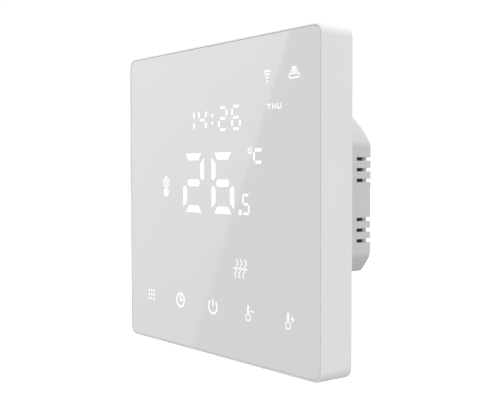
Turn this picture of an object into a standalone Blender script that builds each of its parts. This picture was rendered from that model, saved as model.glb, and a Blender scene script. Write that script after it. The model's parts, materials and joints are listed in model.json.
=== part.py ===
"""Slim touch thermostat for a flush wall box.

Frame: +X right and +Z up as seen from the room, +Y into the wall. The origin is the centre of the
wall plane, so the room side has negative y and the part inside the wall box has positive y.
All sizes are in metres.
"""
import math

import bmesh
import bpy
from mathutils import Matrix, Vector

# Clearances
GAP = 0.0002            # between two pieces that touch or are screwed together
REVEAL = 0.0002         # visible joint all round the touch panel
SLIDE_GAP = 0.0004      # between pieces that pass each other as the front comes off
REACH = 0.002           # how far a cutter runs past the face it opens

# Front: frame and touch panel
FACE_W = 0.0860
FACE_H = 0.0860
FRAME_DEPTH = 0.0100
FRAME_WALL = 0.0015
FRAME_RIM = 0.0005      # edge of the frame that shows around the panel
FRAME_FLOOR = 0.0012    # web of the frame behind the panel
CORNER_R = 0.0030
EDGE_R = 0.0004
PANEL_T = 0.0018
PANEL_EDGE_R = 0.00015
ADHESIVE_T = 0.0003
ADHESIVE_INSET = 0.0008
ADHESIVE_LAP = 0.0005   # its overlap on the light box
AIR_SLOTS = 8           # in the bottom wall of the frame
AIR_SLOT_PITCH = 0.0050
AIR_SLOT_W = 0.0032
AIR_SLOT_H = 0.0010
PRY_X = 0.0150          # notches for the screwdriver that lifts the front
PRY_W = 0.0060
PRY_DEPTH = 0.0012

# Display, as seen from the room
WINDOW_X = 0.0052       # centre of the lit area
WINDOW_Z = 0.0062
LIGHT_W = 0.0634
LIGHT_H = 0.0574
LIGHT_T = 0.0023
DIFFUSER_T = 0.0002

# Touch keys
KEY_COUNT = 5
KEY_PITCH = 0.0155
KEY_Z = -0.02935
KEY_SPRING_R = 0.0033
KEY_WIRE_R = 0.00022
KEY_TURNS = 3
KEY_STEPS = 12          # points on each turn

# Display board
BOARD_T = 0.0012
BOARD_CORNER_R = 0.0020
BOARD_MARGIN = 0.0025   # from the frame's inner wall to the board's edge
SCREW_INSET_X = 0.0030
SCREW_INSET_Z = 0.0019
BOSS_R = 0.0019
BOARD_HOLE_R = 0.0012
BOARD_PILOT_R = 0.0011
BOARD_SHANK_R = 0.00085
BOARD_HEAD_R = 0.0018
BOARD_HEAD_T = 0.0011
BOARD_SHANK_L = 0.0020
SENSOR_X = -0.0300
SENSOR_Z = -0.0370
SENSOR_R = 0.0009

# Wells of the light box: left, right, bottom and top edge of each
LIGHT_WELLS = [
    (-0.0150, 0.0105, -0.0050, 0.0142),
    (0.0112, 0.0168, -0.0050, 0.0030),
    (0.0150, 0.0218, 0.0092, 0.0150),
    (-0.0252, -0.0200, -0.0002, 0.0075),
    (-0.0095, 0.0130, 0.0185, 0.0260),
    (0.0220, 0.0297, 0.0225, 0.0260),
    (0.0210, 0.0253, 0.0296, 0.0342),
    (0.0304, 0.0360, 0.0296, 0.0342),
    (0.0085, 0.0160, -0.0212, -0.0148),
]

# Chips on the back of the display board: name, x, z, width, height, thickness
CHIPS = [
    ("wireless_module", 0.0120, -0.0120, 0.0160, 0.0240, 0.0024),
    ("main_chip", -0.0120, -0.0100, 0.0100, 0.0100, 0.0014),
    ("display_driver", -0.0180, 0.0250, 0.0075, 0.0100, 0.0014),
]

# Mounting plate
PLATE_T = 0.0010
PLATE_MARGIN = 0.0007
WALL_SCREW_PITCH = 0.0600
WALL_SLOT_W = 0.0045
WALL_SLOT_H = 0.0110
SNAP_X = 0.0220
SNAP_W = 0.0070
SNAP_T = 0.0011
LOUVRE_ROWS = 3         # air slots of the plate, in front of the power board
LOUVRE_X = 0.0095
LOUVRE_TOP = -0.0040
LOUVRE_PITCH = 0.0045
LOUVRE_L = 0.0140
LOUVRE_W = 0.0016

# Rear housing
HOUSING_R = 0.02965
HOUSING_FLAT = 0.0254   # half the width across the two side flats
HOUSING_DEPTH = 0.0255
HOUSING_WALL = 0.0015
DEEP_BOTTOM = -0.0201   # underside of the deep part
LEDGE_DEPTH = 0.0058    # depth of the shallow part that carries the terminals
VENT_PITCH = 0.00293
VENT_FIRST = 0.00535
VENT_H = 0.00095
VENT_COUNT = 3
VENT_LENGTH = 0.0054
PLATE_SCREW_ANGLE = math.radians(42)
PLATE_SCREW_INSET = 0.0018
PLATE_BOSS_R = 0.0026
PLATE_BOSS_L = 0.0140
PLATE_PILOT_R = 0.0013
PLATE_SHANK_R = 0.0011
PLATE_SHANK_L = 0.0080
PLATE_HEAD_R = 0.0025
PLATE_HEAD_T = 0.0011
HOOK_X = 0.0040
HOOK_W = 0.0030
HOOK_T = 0.0008
HOOK_LIP = 0.0010

# Power board and the connector between the two boards
POWER_Y = 0.0024        # its face toward the room
POWER_T = 0.0016
POWER_EDGE_GAP = 0.0010
POST_INSET = 0.0021
POST_RISE = 0.0041      # above the floor of the deep part
POST_R = 0.0024
POWER_SCREW_L = 0.0060
PIN_COUNT = 8
PIN_PITCH = 0.00254
PIN_SIDE = 0.00064
PIN_HOLE = 0.0011
HEADER_Z = 0.0140
HEADER_T = 0.0020
HEADER_H = 0.0025
SOCKET_MARGIN = 0.0018  # between the socket and its window in the plate
PIN_TIP = 0.0014

# Parts that stand on the power board
CAN_R, CAN_L, CAN_X, CAN_Z = 0.0040, 0.0120, 0.0090, 0.0120
VARISTOR_R, VARISTOR_T, VARISTOR_X, VARISTOR_Z = 0.0050, 0.0040, 0.0195, 0.0030
FUSE_R, FUSE_L, FUSE_X, FUSE_Z = 0.0018, 0.0100, 0.0, 0.0215

# Box-shaped parts on the power board: name, x, z, width, height, depth, colour
BLOCKS = [
    ("transformer", -0.0100, 0.0050, 0.0140, 0.0140, 0.0130, (0.75, 0.62, 0.12)),
    ("input_capacitor", 0.0080, 0.0020, 0.0130, 0.0060, 0.0120, (0.70, 0.60, 0.10)),
]

# Relay
RELAY_X = 0.0
RELAY_SIDE_GAP = 0.00265
RELAY_L = 0.0290
RELAY_W = 0.0127
RELAY_H = 0.0157
RELAY_WALL = 0.0008
RELAY_BASE_T = 0.0014
COIL_R = 0.0046
COIL_L = 0.0090
CORE_R = 0.0020
YOKE_T = 0.0010
YOKE_W = 0.0070
AIR_GAP = 0.00055        # between core and armature with the coil off
CORE_REACH = 0.0018     # how far the core stands out of the coil
CONTACT_PAD_T = 0.0004
PAD_W = 0.0020
PAD_H = 0.0014
POST_T = 0.0008         # of the fixed contact
POST_W = 0.0030
POST_H = 0.0024
CONTACT_OPEN = 0.00065   # between the contacts with the coil off

# Terminals
TERMINAL_COUNT = 6
TERMINAL_PITCH = 0.0050
TERMINAL_D = 0.0069     # height of the block along z
TERMINAL_H = 0.0104     # depth of the block along y
CHAMBER_W = 0.0037
CHAMBER_Y = 0.0060
CLAMP_W = 0.0032
CLAMP_WALL = 0.0006     # under the wire
CLAMP_L = 0.0040
CLAMP_ROOM = 0.0023     # open height for the wire
CLAMP_TRAVEL = 0.0012
SHANK_ROOM = 0.00025    # from the screw's shank to each side wall of the clamp
SCREW_HEAD_R = 0.00175
SCREW_HEAD_T = 0.0016
SCREW_SHANK_R = 0.0010
CONTACT_T = 0.0005
CONTACT_LEG_W = 0.0013
CONTACT_LEG_HOLE_R = 0.0010
CONTACT_TAIL = 0.0009
TERMINAL_FLOOR = 0.0009
WELL_DEPTH = 0.0024
CLAMP_INSET = 0.0007
CLAMP_NUT_T = 0.0008

# Places worked out from the sizes above
FRONT_Y = -FRAME_DEPTH
PANEL_BACK = FRONT_Y + PANEL_T
WEB_FRONT = PANEL_BACK + ADHESIVE_T + GAP / 2
WEB_BACK = WEB_FRONT + FRAME_FLOOR
LIGHT_BACK = WEB_FRONT + GAP / 2 + LIGHT_T
BOARD_FRONT = LIGHT_BACK + GAP / 2
BOARD_BACK = BOARD_FRONT + BOARD_T
PANEL_W = FACE_W - 2 * (FRAME_RIM + REVEAL)
PANEL_H = FACE_H - 2 * (FRAME_RIM + REVEAL)
POWER_BACK = POWER_Y + POWER_T
HOUSING_FRONT = GAP / 4
TERMINAL_W = TERMINAL_COUNT * TERMINAL_PITCH
TERMINAL_TOP = DEEP_BOTTOM - GAP
TERMINAL_BOTTOM = TERMINAL_TOP - TERMINAL_D
TERMINAL_Y = POWER_BACK + GAP / 2
TERMINAL_BACK = TERMINAL_Y + TERMINAL_H
SIDES = (-1, 1)
BOARD_W = FACE_W - 2 * (FRAME_WALL + BOARD_MARGIN)
BOARD_H = FACE_H - 2 * (FRAME_WALL + BOARD_MARGIN)
BOARD_SCREW_X = BOARD_W / 2 - SCREW_INSET_X
BOARD_SCREW_Z = BOARD_H / 2 - SCREW_INSET_Z
PLATE_W = FACE_W - 2 * (FRAME_WALL + PLATE_MARGIN)
PLATE_H = FACE_H - 2 * (FRAME_WALL + PLATE_MARGIN)
PLATE_SCREW_R = HOUSING_R - HOUSING_WALL - PLATE_SCREW_INSET
PLATE_SCREW_X = PLATE_SCREW_R * math.cos(PLATE_SCREW_ANGLE)
PLATE_SCREW_Z = PLATE_SCREW_R * math.sin(PLATE_SCREW_ANGLE)
POST_X = HOUSING_FLAT - HOUSING_WALL - POST_INSET
POST_Z = DEEP_BOTTOM + HOUSING_WALL + POST_RISE
RELAY_Z = DEEP_BOTTOM + HOUSING_WALL + RELAY_SIDE_GAP + RELAY_W / 2
SOCKET_TOP = BOARD_BACK + GAP / 2 + HEADER_T + GAP


# ---- shapes ------------------------------------------------------------------------------------
def clear_scene():
    for item in list(bpy.data.objects):
        bpy.data.objects.remove(item, do_unlink=True)


def new_group(name):
    made = bpy.data.collections.new(name)
    bpy.context.scene.collection.children.link(made)
    return made


clear_scene()
PARTS = new_group("wall_thermostat")
CUTTERS = new_group("cutters")
MATERIALS = {}


def paint(piece, name, colour, roughness, metallic=0.0):
    """Give a piece its Principled material, made once for each name."""
    if name not in MATERIALS:
        made = bpy.data.materials.new(name)
        made.use_nodes = True
        shader = made.node_tree.nodes["Principled BSDF"]
        shader.inputs["Base Color"].default_value = (*colour, 1.0)
        shader.inputs["Roughness"].default_value = roughness
        shader.inputs["Metallic"].default_value = metallic
        made.diffuse_color = (*colour, 1.0)
        MATERIALS[name] = made
    piece.data.materials.clear()
    piece.data.materials.append(MATERIALS[name])


def add(name, shape, where, group):
    """Link a finished bmesh as an object whose origin is at where."""
    bmesh.ops.recalc_face_normals(shape, faces=shape.faces)
    mesh = bpy.data.meshes.new(name)
    shape.to_mesh(mesh)
    shape.free()
    piece = bpy.data.objects.new(name, mesh)
    piece.location = where
    group.objects.link(piece)
    if group is CUTTERS:
        piece.hide_render = True
        piece.display_type = "WIRE"
    return piece


def box(name, low, high, group=None, origin=None):
    """A block between two corners. Its origin is its centre unless one is given."""
    low, high = Vector(low), Vector(high)
    centre = (low + high) / 2
    where = centre if origin is None else Vector(origin)
    shape = bmesh.new()
    bmesh.ops.create_cube(shape, size=1.0)
    bmesh.ops.scale(shape, vec=high - low, verts=shape.verts)
    bmesh.ops.translate(shape, vec=centre - where, verts=shape.verts)
    return add(name, shape, where, group or PARTS)


def rod(name, radius, start, end, x, z, axis="Y", sides=24, group=None, origin=None):
    """A round bar along Y at (x, z), or along X where x is then y."""
    turn = Matrix.Rotation(math.radians(90), 4, "X" if axis == "Y" else "Y")
    middle = (start + end) / 2
    centre = Vector((x, middle, z)) if axis == "Y" else Vector((middle, x, z))
    where = centre if origin is None else Vector(origin)
    shape = bmesh.new()
    bmesh.ops.create_cone(
        shape, cap_ends=True, segments=sides, radius1=radius, radius2=radius, depth=abs(end - start),
        matrix=Matrix.Translation(centre - where) @ turn)
    piece = add(name, shape, where, group or PARTS)
    piece.data.shade_smooth()
    piece.data.set_sharp_from_angle(angle=math.radians(40))
    return piece


def rounded(name, width, height, front, back, corner, edge=0.0, group=None, centre=(0.0, 0.0)):
    """A plate in the XZ plane with rounded corners, and softened front edges if edge is given."""
    shape = bmesh.new()
    bmesh.ops.create_cube(shape, size=1.0)
    bmesh.ops.scale(shape, vec=(width, back - front, height), verts=shape.verts)
    along_y = [e for e in shape.edges if abs(e.verts[0].co.y - e.verts[1].co.y) > (back - front) / 2]
    bmesh.ops.bevel(
        shape, geom=along_y, offset=corner, offset_type="OFFSET", segments=6, profile=0.5,
        affect="EDGES", material=-1)
    if edge:
        face = min(shape.faces, key=lambda f: f.calc_center_median().y)
        bmesh.ops.bevel(
            shape, geom=list(face.edges), offset=edge, offset_type="OFFSET", segments=3, profile=0.5,
            affect="EDGES", material=-1)
    piece = add(name, shape, (centre[0], (front + back) / 2, centre[1]), group or PARTS)
    piece.data.shade_smooth()
    piece.data.set_sharp_from_angle(angle=math.radians(35))
    return piece


def combine(piece, operation, others):
    for other in others:
        step = piece.modifiers.new(other.name, "BOOLEAN")
        step.operation = operation
        step.solver = "EXACT"
        step.object = other
    return piece


def cut(piece, *tools):
    return combine(piece, "DIFFERENCE", tools)


def join(piece, *tools):
    return combine(piece, "UNION", tools)


def keep(piece, *tools):
    return combine(piece, "INTERSECT", tools)


def tool_box(low, high):
    return box("cutter", low, high, CUTTERS)


def tool_rod(radius, start, end, x, z, sides=24):
    return rod("cutter", radius, start, end, x, z, sides=sides, group=CUTTERS)


def key_places():
    return [(i - (KEY_COUNT - 1) / 2) * KEY_PITCH for i in range(KEY_COUNT)]


def terminal_places():
    return [(i - (TERMINAL_COUNT - 1) / 2) * TERMINAL_PITCH for i in range(TERMINAL_COUNT)]


def pin_places():
    return [(i - (PIN_COUNT - 1) / 2) * PIN_PITCH for i in range(PIN_COUNT)]


def board_screw_places():
    return [(sx * BOARD_SCREW_X, sz * BOARD_SCREW_Z) for sz in (1, -1) for sx in SIDES]


# ---- front ---------------------------------------------------------------------------------------
def front_frame():
    """Square frame: rim, web behind the panel, bosses for the board and four snap arms."""
    frame = rounded("front_frame", FACE_W, FACE_H, FRONT_Y, 0.0, CORNER_R, edge=EDGE_R)
    pocket = rounded(
        "cutter", FACE_W - 2 * FRAME_RIM, FACE_H - 2 * FRAME_RIM, FRONT_Y - REACH, WEB_FRONT,
        CORNER_R - FRAME_RIM, group=CUTTERS)
    hollow = rounded(
        "cutter", FACE_W - 2 * FRAME_WALL, FACE_H - 2 * FRAME_WALL, WEB_BACK, REACH,
        CORNER_R - FRAME_WALL, group=CUTTERS)
    cut(frame, pocket, hollow)
    half_w = LIGHT_W / 2 + GAP
    half_h = LIGHT_H / 2 + GAP
    cut(frame, tool_box(
        (WINDOW_X - half_w, WEB_FRONT - REACH, WINDOW_Z - half_h),
        (WINDOW_X + half_w, WEB_BACK + REACH, WINDOW_Z + half_h)))
    for x in key_places():
        cut(frame, tool_rod(KEY_SPRING_R + 3 * GAP, WEB_FRONT - REACH, WEB_BACK + REACH, x, KEY_Z))
    for x, z in board_screw_places():
        join(frame, tool_rod(BOSS_R, WEB_BACK - FRAME_FLOOR / 2, BOARD_FRONT - GAP / 2, x, z, sides=20))
        cut(frame, tool_rod(BOARD_PILOT_R, WEB_BACK - FRAME_FLOOR / 3, BOARD_BACK, x, z, sides=16))
    arm_z = FACE_H / 2 - FRAME_WALL - SLIDE_GAP
    for side in SIDES:
        for x in (-SNAP_X, SNAP_X):
            ends = sorted((side * arm_z, side * (arm_z - SNAP_T)))
            join(frame, tool_box(
                (x - SNAP_W / 2, WEB_BACK - FRAME_FLOOR / 2, ends[0]), (x + SNAP_W / 2, -GAP, ends[1])))
    bottom = -FACE_H / 2
    for i in range(AIR_SLOTS):
        x = (i - (AIR_SLOTS - 1) / 2) * AIR_SLOT_PITCH
        cut(frame, tool_box(
            (x - AIR_SLOT_W / 2, BOARD_FRONT, bottom - REACH),
            (x + AIR_SLOT_W / 2, BOARD_FRONT + AIR_SLOT_H, bottom + REACH)))
    for x in (-PRY_X, PRY_X):
        cut(frame, tool_box(
            (x - PRY_W / 2, -PRY_DEPTH, bottom - REACH), (x + PRY_W / 2, REACH, bottom + REACH)))
    paint(frame, "white_polycarbonate", (0.86, 0.87, 0.88), 0.30)


def touch_panel():
    """Printed panel that fills the frame flush with its rim."""
    panel = rounded(
        "touch_panel", PANEL_W, PANEL_H, FRONT_Y, PANEL_BACK,
        CORNER_R - FRAME_RIM - REVEAL, edge=PANEL_EDGE_R)
    paint(panel, "panel_glass", (0.80, 0.81, 0.82), 0.08)


def panel_adhesive():
    """Thin double-sided sheet, open over the display and over each key spring."""
    sheet = rounded(
        "panel_adhesive", PANEL_W - 2 * ADHESIVE_INSET, PANEL_H - 2 * ADHESIVE_INSET, PANEL_BACK + GAP / 4,
        WEB_FRONT - GAP / 4, CORNER_R - FRAME_RIM - REVEAL)
    half_w = LIGHT_W / 2 - ADHESIVE_LAP
    half_h = LIGHT_H / 2 - ADHESIVE_LAP
    cut(sheet, tool_box(
        (WINDOW_X - half_w, PANEL_BACK - REACH, WINDOW_Z - half_h),
        (WINDOW_X + half_w, WEB_FRONT + REACH, WINDOW_Z + half_h)))
    for x in key_places():
        cut(sheet, tool_rod(KEY_SPRING_R + 4 * GAP, PANEL_BACK - REACH, WEB_FRONT + REACH, x, KEY_Z))
    paint(sheet, "adhesive", (0.75, 0.75, 0.72), 0.6)


def display_stack():
    """Diffuser sheet and the light box whose wells keep the lit signs apart."""
    half_w = LIGHT_W / 2 - ADHESIVE_LAP - GAP
    half_h = LIGHT_H / 2 - ADHESIVE_LAP - GAP
    start = PANEL_BACK + GAP / 4
    diffuser = box(
        "display_diffuser", (WINDOW_X - half_w, start, WINDOW_Z - half_h),
        (WINDOW_X + half_w, start + DIFFUSER_T, WINDOW_Z + half_h))
    paint(diffuser, "diffuser_film", (0.95, 0.95, 0.95), 0.5)
    block = box(
        "display_light_box", (WINDOW_X - LIGHT_W / 2, WEB_FRONT + GAP / 2, WINDOW_Z - LIGHT_H / 2),
        (WINDOW_X + LIGHT_W / 2, LIGHT_BACK, WINDOW_Z + LIGHT_H / 2))
    for x0, x1, z0, z1 in LIGHT_WELLS:
        cut(block, tool_box((x0, WEB_FRONT - REACH, z0), (x1, LIGHT_BACK + REACH, z1)))
    paint(block, "light_box_white", (0.9, 0.9, 0.9), 0.5)


def display_board():
    """Board with its two chips, wireless module, air sensor, pin header, key springs and screws."""
    board = rounded("display_board", BOARD_W, BOARD_H, BOARD_FRONT, BOARD_BACK, BOARD_CORNER_R)
    for x, z in board_screw_places():
        cut(board, tool_rod(BOARD_HOLE_R, BOARD_FRONT - REACH, BOARD_BACK + REACH, x, z, sides=16))
    paint(board, "circuit_board", (0.05, 0.25, 0.10), 0.45)
    back = BOARD_BACK + GAP / 2
    for name, x, z, w, h, t in CHIPS:
        chip = box(name, (x - w / 2, back, z - h / 2), (x + w / 2, back + t, z + h / 2))
        paint(chip, "chip_black", (0.02, 0.02, 0.02), 0.45)
    for number, (x, z) in enumerate(board_screw_places(), 1):
        head = BOARD_BACK + GAP / 2
        screw = rod(f"display_board_screw_{number}", BOARD_HEAD_R, head, head + BOARD_HEAD_T, x, z)
        join(screw, tool_rod(BOARD_SHANK_R, head - BOARD_SHANK_L, head + BOARD_HEAD_T / 2, x, z, 16))
        cross_slots(screw, x, z, head + BOARD_HEAD_T, BOARD_HEAD_R)
        paint(screw, "screw_steel", (0.6, 0.6, 0.62), 0.3, 1.0)


def cross_slots(screw, x, z, top, radius):
    """Cross recess in a head whose outer face is at y = top."""
    long, thin, deep = radius * 0.62, radius * 0.16, radius * 0.35
    cut(screw, tool_box((x - long, top - deep, z - thin), (x + long, top + REACH, z + thin)))
    cut(screw, tool_box((x - thin, top - deep, z - long), (x + thin, top + REACH, z + long)))


def air_sensor():
    """Bead thermistor on two short leads at the bottom edge of the display board."""
    y = BOARD_BACK + SENSOR_R + GAP
    shape = bmesh.new()
    bmesh.ops.create_uvsphere(shape, u_segments=12, v_segments=8, radius=SENSOR_R)
    bead = add("air_sensor", shape, (SENSOR_X, y, SENSOR_Z), PARTS)
    bead.data.shade_smooth()
    join(bead, tool_box(
        (SENSOR_X - SENSOR_R / 2, BOARD_BACK + GAP / 2, SENSOR_Z + SENSOR_R / 3),
        (SENSOR_X + SENSOR_R / 2, y + GAP, SENSOR_Z + 2 * SENSOR_R)))
    paint(bead, "sensor_epoxy", (0.03, 0.03, 0.03), 0.35)


def key_springs():
    """Coil contact from the board to the back of the panel behind each key."""
    low = BOARD_FRONT - KEY_WIRE_R - GAP / 2
    high = PANEL_BACK + KEY_WIRE_R + GAP / 2
    steps = KEY_STEPS * KEY_TURNS
    for number, x in enumerate(key_places(), 1):
        curve = bpy.data.curves.new(f"touch_spring_{number}", "CURVE")
        curve.dimensions = "3D"
        curve.bevel_depth = KEY_WIRE_R
        curve.bevel_resolution = 1
        curve.use_fill_caps = True
        line = curve.splines.new("POLY")
        line.points.add(steps)
        for i, point in enumerate(line.points):
            turn = 2 * math.pi * KEY_TURNS * i / steps
            radius = KEY_SPRING_R - KEY_WIRE_R
            point.co = (radius * math.cos(turn), (high - low) * i / steps, radius * math.sin(turn), 1.0)
        spring = bpy.data.objects.new(curve.name, curve)
        spring.location = (x, low, KEY_Z)
        PARTS.objects.link(spring)
        paint(spring, "spring_steel", (0.7, 0.68, 0.62), 0.25, 1.0)


def board_header():
    """Pins from the display board into the socket on the power board."""
    half = PIN_COUNT * PIN_PITCH / 2
    y = BOARD_BACK + GAP / 2
    header = box(
        "board_header", (-half, y, HEADER_Z - HEADER_H / 2), (half, y + HEADER_T, HEADER_Z + HEADER_H / 2))
    for x in pin_places():
        join(header, tool_box(
            (x - PIN_SIDE / 2, y + HEADER_T / 2, HEADER_Z - PIN_SIDE / 2),
            (x + PIN_SIDE / 2, PIN_TIP, HEADER_Z + PIN_SIDE / 2)))
    paint(header, "connector_black", (0.03, 0.03, 0.03), 0.4)


# ---- plate and rear housing ----------------------------------------------------------------------
def mounting_plate():
    """Steel plate that is screwed to the wall box and carries both halves."""
    plate = rounded("mounting_plate", PLATE_W, PLATE_H, -PLATE_T, 0.0, CORNER_R)
    front, back = -PLATE_T - REACH, REACH
    straight = (WALL_SLOT_H - WALL_SLOT_W) / 2
    for side in SIDES:
        x = side * WALL_SCREW_PITCH / 2
        slot = tool_box((x - WALL_SLOT_W / 2, front, -straight), (x + WALL_SLOT_W / 2, back, straight))
        cut(plate, slot)
        for z in (-straight, straight):
            cut(plate, tool_rod(WALL_SLOT_W / 2, front, back, x, z, sides=20))
        cut(plate, tool_rod(PLATE_SHANK_R + 3 * GAP, front, back, side * PLATE_SCREW_X, PLATE_SCREW_Z, 20))
        hook_out = hook_line() - HOOK_T
        cut(plate, tool_box(
            (side * HOOK_X - HOOK_W / 2 - GAP, front, hook_out - GAP),
            (side * HOOK_X + HOOK_W / 2 + GAP, back, hook_line() + 2 * GAP)))
        inner = FACE_H / 2 - FRAME_WALL - SLIDE_GAP - SNAP_T - SLIDE_GAP
        ends = sorted((side * inner, side * (PLATE_H / 2 + REACH)))
        for x in (-SNAP_X, SNAP_X):
            half = SNAP_W / 2 + SLIDE_GAP
            cut(plate, tool_box((x - half, front, ends[0]), (x + half, back, ends[1])))
    half = PIN_COUNT * PIN_PITCH / 2 + SOCKET_MARGIN
    high = HEADER_H / 2 + SOCKET_MARGIN
    cut(plate, tool_box((-half, front, HEADER_Z - high), (half, back, HEADER_Z + high)))
    for row in range(LOUVRE_ROWS):
        z = LOUVRE_TOP - row * LOUVRE_PITCH
        for side in SIDES:
            x = side * LOUVRE_X
            cut(plate, tool_box(
                (x - LOUVRE_L / 2, front, z - LOUVRE_W / 2), (x + LOUVRE_L / 2, back, z + LOUVRE_W / 2)))
    paint(plate, "zinc_plated_steel", (0.62, 0.63, 0.64), 0.38, 1.0)


def hook_line():
    """Top edge, along z, of the two hooks at the bottom of the housing wall."""
    middle = HOUSING_R - HOUSING_WALL / 2
    return -math.sqrt(middle ** 2 - HOOK_X ** 2) + HOOK_T / 2


def drum(name, radius, flat, floor, bottom, ledge, start, group=None):
    """Round housing shape with two side flats, a flat underside and a shallow ledge below it."""
    body = rod(name, radius, start, floor, 0.0, 0.0, sides=96, group=group)
    cut(body, tool_box((-1.1 * radius, ledge, -1.1 * radius), (1.1 * radius, floor + REACH, bottom)))
    keep(body, tool_box((-flat, start - REACH, -1.1 * radius), (flat, floor + REACH, 1.1 * radius)))
    return body


def rear_housing():
    """Plastic shell that goes into the wall box, with its bosses, posts, hooks and vents."""
    shell = drum(
        "rear_housing", HOUSING_R, HOUSING_FLAT, HOUSING_DEPTH, DEEP_BOTTOM, LEDGE_DEPTH, HOUSING_FRONT)
    inner_floor = HOUSING_DEPTH - HOUSING_WALL
    inside = drum(
        "cutter", HOUSING_R - HOUSING_WALL, HOUSING_FLAT - HOUSING_WALL, inner_floor,
        DEEP_BOTTOM + HOUSING_WALL, LEDGE_DEPTH - HOUSING_WALL, HOUSING_FRONT - REACH, CUTTERS)
    cut(shell, inside)
    for side in SIDES:
        x = side * PLATE_SCREW_X
        join(shell, tool_rod(PLATE_BOSS_R, HOUSING_FRONT + GAP, PLATE_BOSS_L, x, PLATE_SCREW_Z, 20))
        join(shell, tool_rod(
            POST_R, POWER_BACK + GAP / 2, inner_floor + HOUSING_WALL / 2, side * POST_X, POST_Z, 20))
    for side in SIDES:
        x = side * PLATE_SCREW_X
        cut(shell, tool_rod(PLATE_PILOT_R, -REACH, PLATE_SHANK_L + GAP, x, PLATE_SCREW_Z, 16))
        cut(shell, tool_rod(
            PLATE_PILOT_R, POWER_BACK - REACH, POWER_SCREW_L + 2 * GAP, side * POST_X, POST_Z, 16))
        low = hook_line() - HOOK_T
        hook = side * HOOK_X
        head = -PLATE_T - GAP
        join(shell, tool_box(
            (hook - HOOK_W / 2, head - HOOK_T, low), (hook + HOOK_W / 2, LEDGE_DEPTH / 4, hook_line())))
        join(shell, tool_box(
            (hook - HOOK_W / 2, head - HOOK_T, low - HOOK_LIP),
            (hook + HOOK_W / 2, head, hook_line() - GAP)))
        vents(shell, side)
    half = TERMINAL_W / 2 + GAP
    cut(shell, tool_box(
        (-half, TERMINAL_Y - GAP / 2, -HOUSING_R - REACH), (half, HOUSING_DEPTH, DEEP_BOTTOM)))
    paint(shell, "rear_plastic", (0.78, 0.78, 0.79), 0.42)


def vents(shell, side):
    """Slots in one side flat, open through the back edge."""
    wall = sorted((side * (HOUSING_FLAT - HOUSING_WALL - GAP / 4), side * (HOUSING_FLAT + REACH)))
    for up in SIDES:
        for i in range(VENT_COUNT):
            z = up * (VENT_FIRST + i * VENT_PITCH)
            cut(shell, tool_box(
                (wall[0], HOUSING_DEPTH - VENT_LENGTH, z - VENT_H / 2),
                (wall[1], HOUSING_DEPTH + REACH, z + VENT_H / 2)))


def plate_screws():
    for number, side in enumerate(SIDES, 1):
        x = side * PLATE_SCREW_X
        seat = -PLATE_T - GAP
        screw = rod(f"plate_screw_{number}", PLATE_HEAD_R, seat - PLATE_HEAD_T, seat, x, PLATE_SCREW_Z)
        join(screw, tool_rod(PLATE_SHANK_R, seat - PLATE_HEAD_T / 2, PLATE_SHANK_L, x, PLATE_SCREW_Z, 16))
        cross_slots(screw, x, PLATE_SCREW_Z, seat - PLATE_HEAD_T + PLATE_HEAD_R * 0.35 - REACH, PLATE_HEAD_R)
        paint(screw, "screw_steel", (0.6, 0.6, 0.62), 0.3, 1.0)


# ---- power board ---------------------------------------------------------------------------------
def power_board():
    """Mains board with cut-outs for the plate bosses and holes for screws and terminal legs."""
    radius = HOUSING_R - HOUSING_WALL - POWER_EDGE_GAP
    board = rod("power_board", radius, POWER_Y, POWER_BACK, 0.0, 0.0, sides=64)
    flat = HOUSING_FLAT - HOUSING_WALL - POWER_EDGE_GAP
    keep(board, tool_box((-flat, POWER_Y - REACH, -radius * 1.1), (flat, POWER_BACK + REACH, radius * 1.1)))
    for side in SIDES:
        cut(board, tool_rod(
            PLATE_BOSS_R + 2 * GAP, POWER_Y - REACH, POWER_BACK + REACH, side * PLATE_SCREW_X,
            PLATE_SCREW_Z, 24))
        cut(board, tool_rod(
            PLATE_SHANK_R + GAP, POWER_Y - REACH, POWER_BACK + REACH, side * POST_X, POST_Z, 16))
    for x in terminal_places():
        cut(board, tool_rod(
            CONTACT_LEG_HOLE_R, POWER_Y - REACH, POWER_BACK + REACH, x, contact_leg_z(), 12))
    paint(board, "circuit_board", (0.05, 0.25, 0.10), 0.45)
    for number, side in enumerate(SIDES, 1):
        x = side * POST_X
        seat = POWER_Y - GAP / 2
        screw = rod(f"power_board_screw_{number}", BOARD_HEAD_R, seat - BOARD_HEAD_T, seat, x, POST_Z)
        join(screw, tool_rod(
            PLATE_SHANK_R, seat - BOARD_HEAD_T / 2, POWER_SCREW_L, x, POST_Z, 16))
        cross_slots(screw, x, POST_Z, seat - BOARD_HEAD_T + BOARD_HEAD_R * 0.35 - REACH, BOARD_HEAD_R)
        paint(screw, "screw_steel", (0.6, 0.6, 0.62), 0.3, 1.0)


def board_socket():
    half = PIN_COUNT * PIN_PITCH / 2
    socket = box(
        "board_socket", (-half, SOCKET_TOP, HEADER_Z - HEADER_H / 2),
        (half, POWER_Y - GAP / 2, HEADER_Z + HEADER_H / 2))
    for x in pin_places():
        cut(socket, tool_box(
            (x - PIN_HOLE / 2, SOCKET_TOP - REACH, HEADER_Z - PIN_HOLE / 2),
            (x + PIN_HOLE / 2, PIN_TIP + GAP, HEADER_Z + PIN_HOLE / 2)))
    paint(socket, "connector_black", (0.03, 0.03, 0.03), 0.4)


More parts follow.
